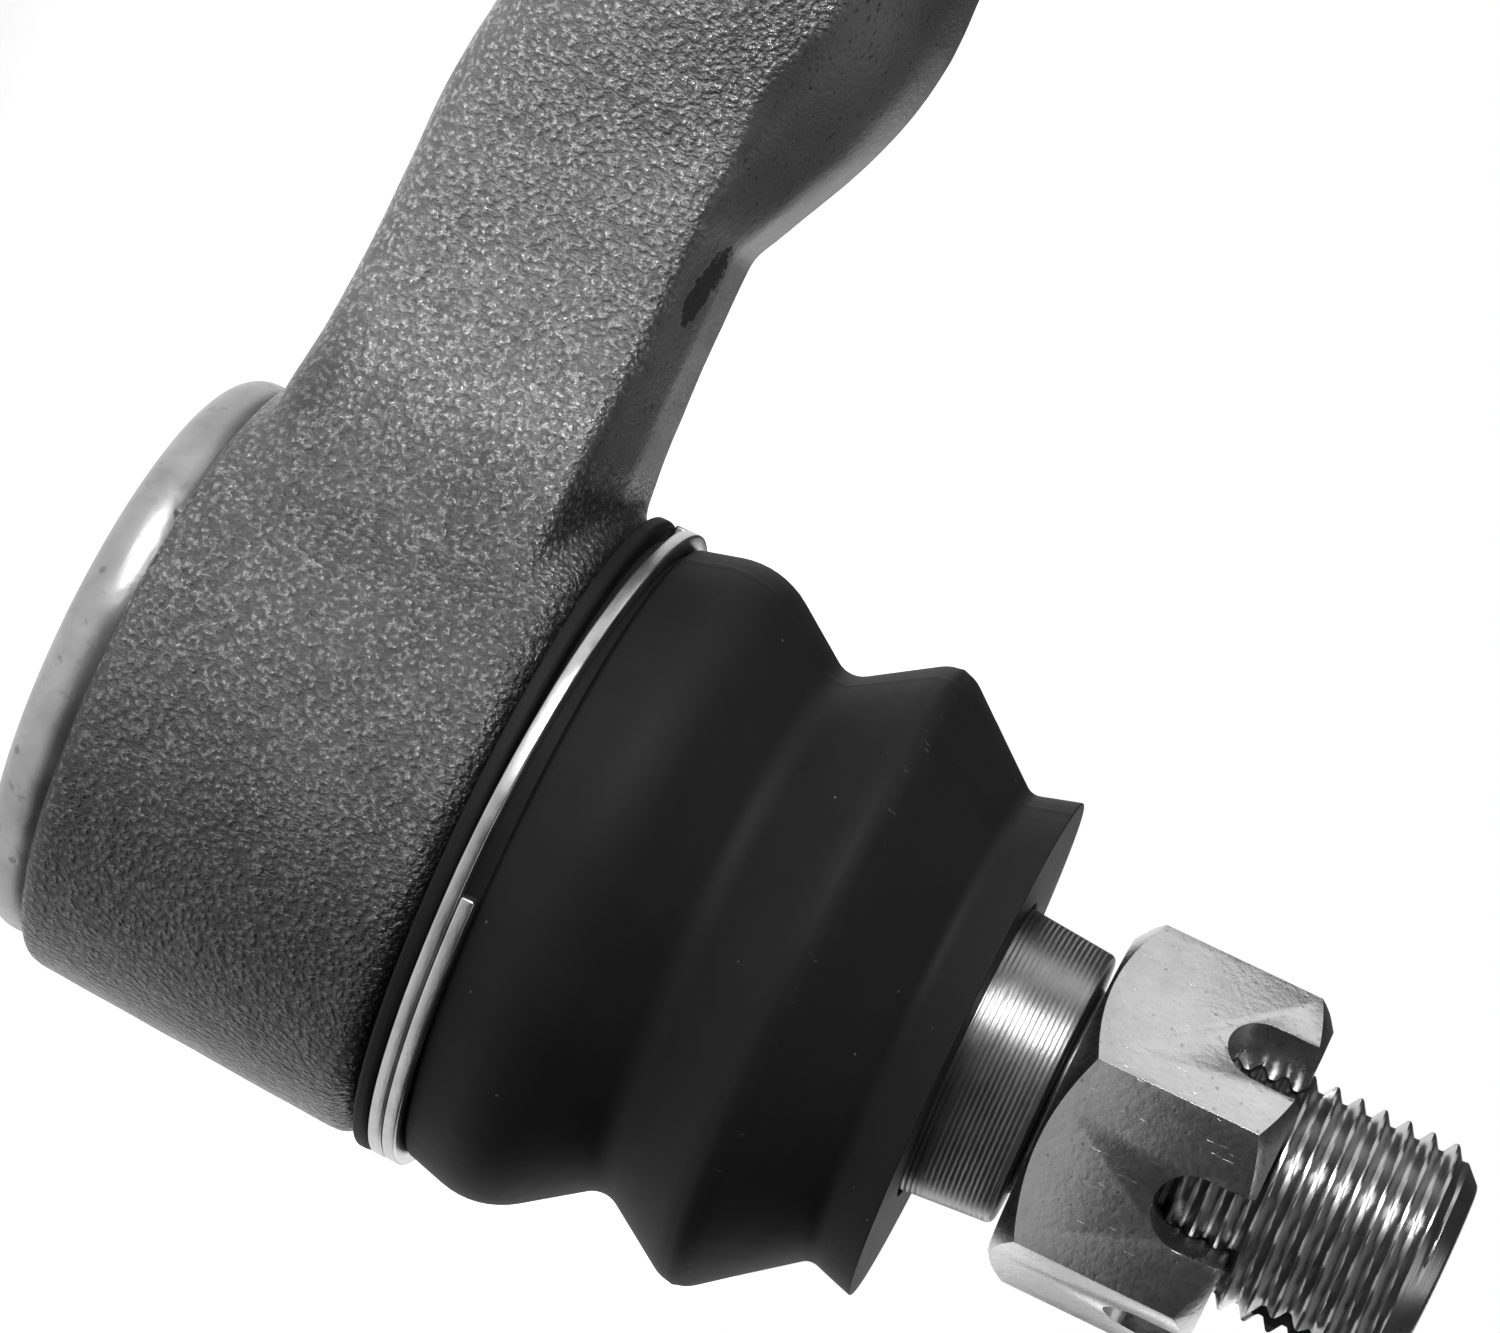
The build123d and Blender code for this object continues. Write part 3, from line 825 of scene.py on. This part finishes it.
nut_points = []
for z in (nut_low_z, nut_high_z):
    for corner in range(6):
        turn = clock + math.radians(30 + 60 * corner)
        nut_points.append((nut_corner * math.cos(turn), nut_corner * math.sin(turn), z))
nut_faces = [tuple(range(6)), tuple(range(6, 12))]
nut_faces += [(k, (k + 1) % 6, (k + 1) % 6 + 6, k + 6) for k in range(6)]
castle = solid("castle_nut_body", nut_points, nut_faces, smooth=False)

corner_cone = turned(
    "corner_cone",
    [
        (0.01, nut_low_z - 0.01),
        (nut_half_flats - 0.25, nut_low_z - 0.01),
        (nut_corner + 0.1, nut_low_z + cone_drop),
        (nut_corner + 0.1, nut_high_z - cone_drop),
        (nut_half_flats - 0.25, nut_high_z + 0.01),
        (0.01, nut_high_z + 0.01),
    ],
    96,
)
castle = cut(castle, corner_cone, "INTERSECT")
for index in range(3):
    slot_bottom = nut_high_z - slot_depth + slot_half_width
    arch = [
        (slot_half_width * math.cos(a), slot_bottom + slot_half_width * math.sin(a))
        for a in np.linspace(-math.pi, 0, 17)
    ]
    arch += [(slot_half_width, nut_high_z + 1), (-slot_half_width, nut_high_z + 1)]
    turn = clock + math.radians(60 * index)
    across = Vector((-math.sin(turn), math.cos(turn), 0))
    through = Vector((math.cos(turn), math.sin(turn), 0))
    slot_points = [
        through * reach + across * u + Vector((0, 0, v)) for reach in (-12, 12) for u, v in arch
    ]
    sides = len(arch)
    slot_faces = [tuple(range(sides)), tuple(range(sides, 2 * sides))]
    slot_faces += [(k, (k + 1) % sides, (k + 1) % sides + sides, k + sides) for k in range(sides)]
    castle = cut(castle, solid("slot", slot_points, slot_faces, smooth=False))
bore_outline = [
    (0.01, nut_low_z - 1),
    (nut_mouth_radius, nut_low_z - 1),
    (nut_drill_radius, nut_low_z + 0.4),
    (nut_drill_radius, nut_high_z - 0.4),
    (nut_mouth_radius, nut_high_z + 1),
    (0.01, nut_high_z + 1),
]
bore = turned("bore", bore_outline, 96)
castle = cut(castle, bore)
wear = castle.modifiers.new("worn_edges", "BEVEL")
wear.width = 0.18 * MM
wear.segments = 2
wear.limit_method = "ANGLE"
wear.angle_limit = math.radians(28)
wear.use_clamp_overlap = True
castle = finished(castle, "castle_nut_plated")

nut_heights = np.arange(nut_low_z - 0.6, nut_high_z + 0.6, stud_pitch / 12)
nut_angles = stud_angles[::2]
tap = threaded_rows(nut_heights, nut_angles, stud_pitch, stud_crest + 0.08, stud_root + 0.12)
tap = [plain_ring(0.02, nut_heights[0], nut_angles), *tap, plain_ring(0.02, nut_heights[-1], nut_angles)]
tap_tool = solid("tap_tool", np.concatenate(tap), grid_faces(len(tap), len(nut_angles)))
close_ends(tap_tool)
castle = cut(castle, tap_tool)
flat_turns = [clock + math.radians(60 * side) for side in range(6)]
flat_ways = [Vector((math.cos(turn), math.sin(turn), 0)) for turn in flat_turns]
flat_ways += [Vector((0, 0, 1)), Vector((0, 0, -1))]
curved = [all(face.normal.dot(way) < 0.9995 for way in flat_ways) for face in castle.data.polygons]
castle.data.polygons.foreach_set("use_smooth", curved)
castle.data.set_sharp_from_angle(angle=math.radians(35))


def plated_and_scuffed():
    finish = Finish("plated_and_scuffed", metallic=1.0)
    patches = finish.grain(2.4, 4.0, 0.6)
    mottle = finish.grain(0.35, 3.0, 0.6)
    scuffs = finish.grain(0.10, 2.0, 0.5, finish.stretched(1, 0.9, 0.06)).between(0.66, 0.76)
    nicks = 1 - finish.cells(0.8).between(0.05, 0.16)
    tone = 0.26 + patches * 0.20 + mottle * 0.10 - scuffs * 0.10 - nicks * 0.12
    finish.set(base_color=finish.grey(tone), roughness=0.22 + mottle * 0.14 + scuffs * 0.1)
    finish.raised((mottle, 0.02), (0 - scuffs - nicks, 0.006))
    return finish.material


castle.data.materials.clear()
castle.data.materials.append(plated_and_scuffed())
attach(castle, "nut")
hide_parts("castle_nut")

# ---------------------------------------------------------------------------------------------
# Dust boot: black rubber bellows, moulded in a split mould. Its large end is held on the collar
# by the wire clip, and its small end grips the stud's taper.

bellow_low_z, waist_z, bellow_high_z = 15.9, 21.1, 26.0
boot_high_z = 33.9
boot_outer = [
    (16.85, 9.4, 0.2),
    (16.85, 10.15, 0.3),
    (15.8, 10.25, 0.12),
    (15.8, 11.75, 0.12),
    (16.2, 11.95, 0.3),
    (17.3, bellow_low_z, 4.3),
    (13.6, waist_z, 1.5),
    (16.75, bellow_high_z, 1.7),
    (12.35, 31.45, 0.9),
    (13.05, boot_high_z, 0.06),
]
boot_inner = [
    (7.75, boot_high_z, 0.1),
    (8.0, 31.8, 0.2),
    (10.9, 31.5, 0.4),
    (15.0, bellow_high_z, 1.0),
    (12.2, waist_z, 1.2),
    (15.6, bellow_low_z, 2.5),
    (15.3, 12.7, 0.3),
    (14.36, 12.4, 0.1),
    (14.36, 9.4, 0.1),
]
boot_outline = divided(rounded(boot_outer + boot_inner, steps=8), 0.45)
parting_angle = math.radians(196)  # where the mould's halves met


def mould_marks(points):
    """Raises the parting lines of the mould and lets the bellows wander a little."""
    x, y, z = points.T
    angle, radius = np.arctan2(y, x), np.hypot(x, y)
    outside = radius > 12.3
    flash = np.zeros_like(z)
    for seam in (parting_angle, parting_angle - math.pi):
        off = np.abs((angle - seam + math.pi) % (2 * math.pi) - math.pi) * radius
        flash += 0.06 * np.exp(-((off / 0.16) ** 2))
    flash += 0.05 * np.exp(-(((z - bellow_high_z) / 0.12) ** 2)) * (radius > 15.9)
    sag = 0.10 * np.sin(2 * angle + 0.6) + 0.06 * np.sin(3 * angle + z * 0.2)
    flex = np.clip((z - 12.5) / 4, 0, 1) * np.clip((33.0 - z) / 4, 0, 1)
    scale = 1 + (flash * outside + sag * flex - 0.1 * flex) / radius
    return np.stack([x * scale, y * scale, z], axis=1)


boot = turned("bellows_boot", boot_outline, 320, shape=mould_marks)


def boot_rubber():
    finish = Finish("boot_rubber", specular_ior_level=0.12)
    bloom = finish.grain(5.0, 3.0)
    skin = finish.grain(0.25, 2.0)
    dust = 1 - finish.cells(1.35).between(0.025, 0.06)
    specks = dust * finish.grain(7.0).between(0.5, 0.6)
    rubbed = finish.grain(0.5, 4.0, 0.7, finish.stretched(1, 1, 0.25)).between(0.62, 0.75)
    near_crease = finish.z.between(25.8, 26.5) * (1 - finish.z.between(26.7, 27.4))
    tone = 0.006 + bloom * 0.006 + specks * 0.10 + rubbed * near_crease * 0.05
    finish.set(base_color=finish.grey(tone), roughness=0.54 + bloom * 0.12 + skin * 0.06)
    finish.raised((bloom, 0.10), (skin, 0.006))
    return finish.material


boot.data.materials.append(boot_rubber())
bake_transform(boot)
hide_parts("dust_boot")

# ---------------------------------------------------------------------------------------------
# Clip ring: flat spring wire wound a little less than twice round the boot's groove, so that
# it lies double for most of the way, with square-cut ends.

clip_turns = 1.72
clip_wire_wide, clip_wire_high = 0.72, 1.0
clip_radius = 16.35
clip_end_angle = math.radians(-83)
clip_upper_z, clip_lower_z = 11.35, 10.6


def clip_tree():
    """A wire that goes round and steps sideways by its own width where it would cross itself."""
    tree = bpy.data.node_groups.new("wound_clip", "GeometryNodeTree")
    made = {}
    for name, value in (
        ("Turns", clip_turns),
        ("Radius", clip_radius * MM),
        ("Start Angle", clip_end_angle),
        ("Upper Height", clip_upper_z * MM),
        ("Lower Height", clip_lower_z * MM),
        ("Wire Width", clip_wire_wide * MM),
        ("Wire Height", clip_wire_high * MM),
    ):
        made[name] = tree.interface.new_socket(name, in_out="INPUT", socket_type="NodeSocketFloat")
        made[name].default_value = value
    metal = tree.interface.new_socket("Finish", in_out="INPUT", socket_type="NodeSocketMaterial")
    tree.interface.new_socket("Wire", in_out="OUTPUT", socket_type="NodeSocketGeometry")
    entry = tree.nodes.new("NodeGroupInput")
    inputs = entry.outputs

    def add(kind, settings=None, sockets=None, output=0):
        node = tree.nodes.new(kind)
        for key, value in (settings or {}).items():
            setattr(node, key, value)
        for key, value in (sockets or {}).items():
            if isinstance(value, bpy.types.NodeSocket):
                tree.links.new(value, node.inputs[key])
            else:
                node.inputs[key].default_value = value
        return node.outputs[output]

    def maths(operation, a, b=0.0):
        return add("ShaderNodeMath", {"operation": operation}, {0: a, 1: b})

    line = add("GeometryNodeCurvePrimitiveLine", None, {"Start": (0, 0, 0), "End": (1, 0, 0)})
    line = add("GeometryNodeResampleCurve", None, {"Curve": line, "Count": 420})
    along = add("GeometryNodeSplineParameter", output=0)
    turn = maths("MULTIPLY", maths("MULTIPLY", along, inputs["Turns"]), 2 * math.pi)
    angle = maths("ADD", turn, inputs["Start Angle"])
    x = maths("MULTIPLY", maths("COSINE", angle), inputs["Radius"])
    y = maths("MULTIPLY", maths("SINE", angle), inputs["Radius"])
    step_start = maths("MULTIPLY", maths("SUBTRACT", inputs["Turns"], 1.0), 2 * math.pi)
    step = add(
        "ShaderNodeMapRange",
        {"interpolation_type": "SMOOTHSTEP"},
        {0: turn, 1: step_start, 2: 2 * math.pi, 3: inputs["Upper Height"], 4: inputs["Lower Height"]},
    )
    place = add("ShaderNodeCombineXYZ", None, {0: x, 1: y, 2: step})
    line = add("GeometryNodeSetPosition", None, {"Geometry": line, "Position": place})
    line = add("GeometryNodeSetCurveNormal", {"mode": "Z_UP"}, {"Curve": line})
    section = add(
        "GeometryNodeCurvePrimitiveQuadrilateral",
        None,
        {"Width": inputs["Wire Height"], "Height": inputs["Wire Width"]},
    )
    wire = add("GeometryNodeCurveToMesh", None, {"Curve": line, "Profile Curve": section, "Fill Caps": True})
    wire = add("GeometryNodeRealizeInstances", None, {"Geometry": wire})
    wire = add("GeometryNodeSetMaterial", None, {"Geometry": wire, "Material": inputs["Finish"]})
    tree.links.new(wire, tree.nodes.new("NodeGroupOutput").inputs[0])
    return tree, {**made, "Finish": metal}


def drawn_wire():
    finish = Finish("drawn_wire", metallic=1.0)
    dull = finish.grain(1.6, 3.0, 0.6)
    finish.set(base_color=finish.grey(0.26 + dull * 0.30), roughness=0.22 + dull * 0.2)
    finish.raised((finish.grain(0.2, 2.0, place=finish.stretched(0.3, 0.3, 1.0)), 0.012))
    return finish.material


wound_tree, wound_inputs = clip_tree()
clip_seed = bpy.data.objects.new("clip_seed", bpy.data.meshes.new("clip_seed"))
bpy.context.scene.collection.objects.link(clip_seed)
winding = clip_seed.modifiers.new("winding", "NODES")
winding.node_group = wound_tree
wire_finish = drawn_wire()
winding[wound_inputs["Finish"].identifier] = wire_finish
winding[wound_inputs["Turns"].identifier] = clip_turns
edge = clip_seed.modifiers.new("drawn_edges", "BEVEL")
edge.width = 0.13 * MM
edge.segments = 3
edge.limit_method = "ANGLE"
edge.angle_limit = math.radians(40)
clip = finished(clip_seed, "wound_clip")
clip.data.polygons.foreach_set("use_smooth", [True] * len(clip.data.polygons))
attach(clip, "housing")
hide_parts("boot_clip_ring")
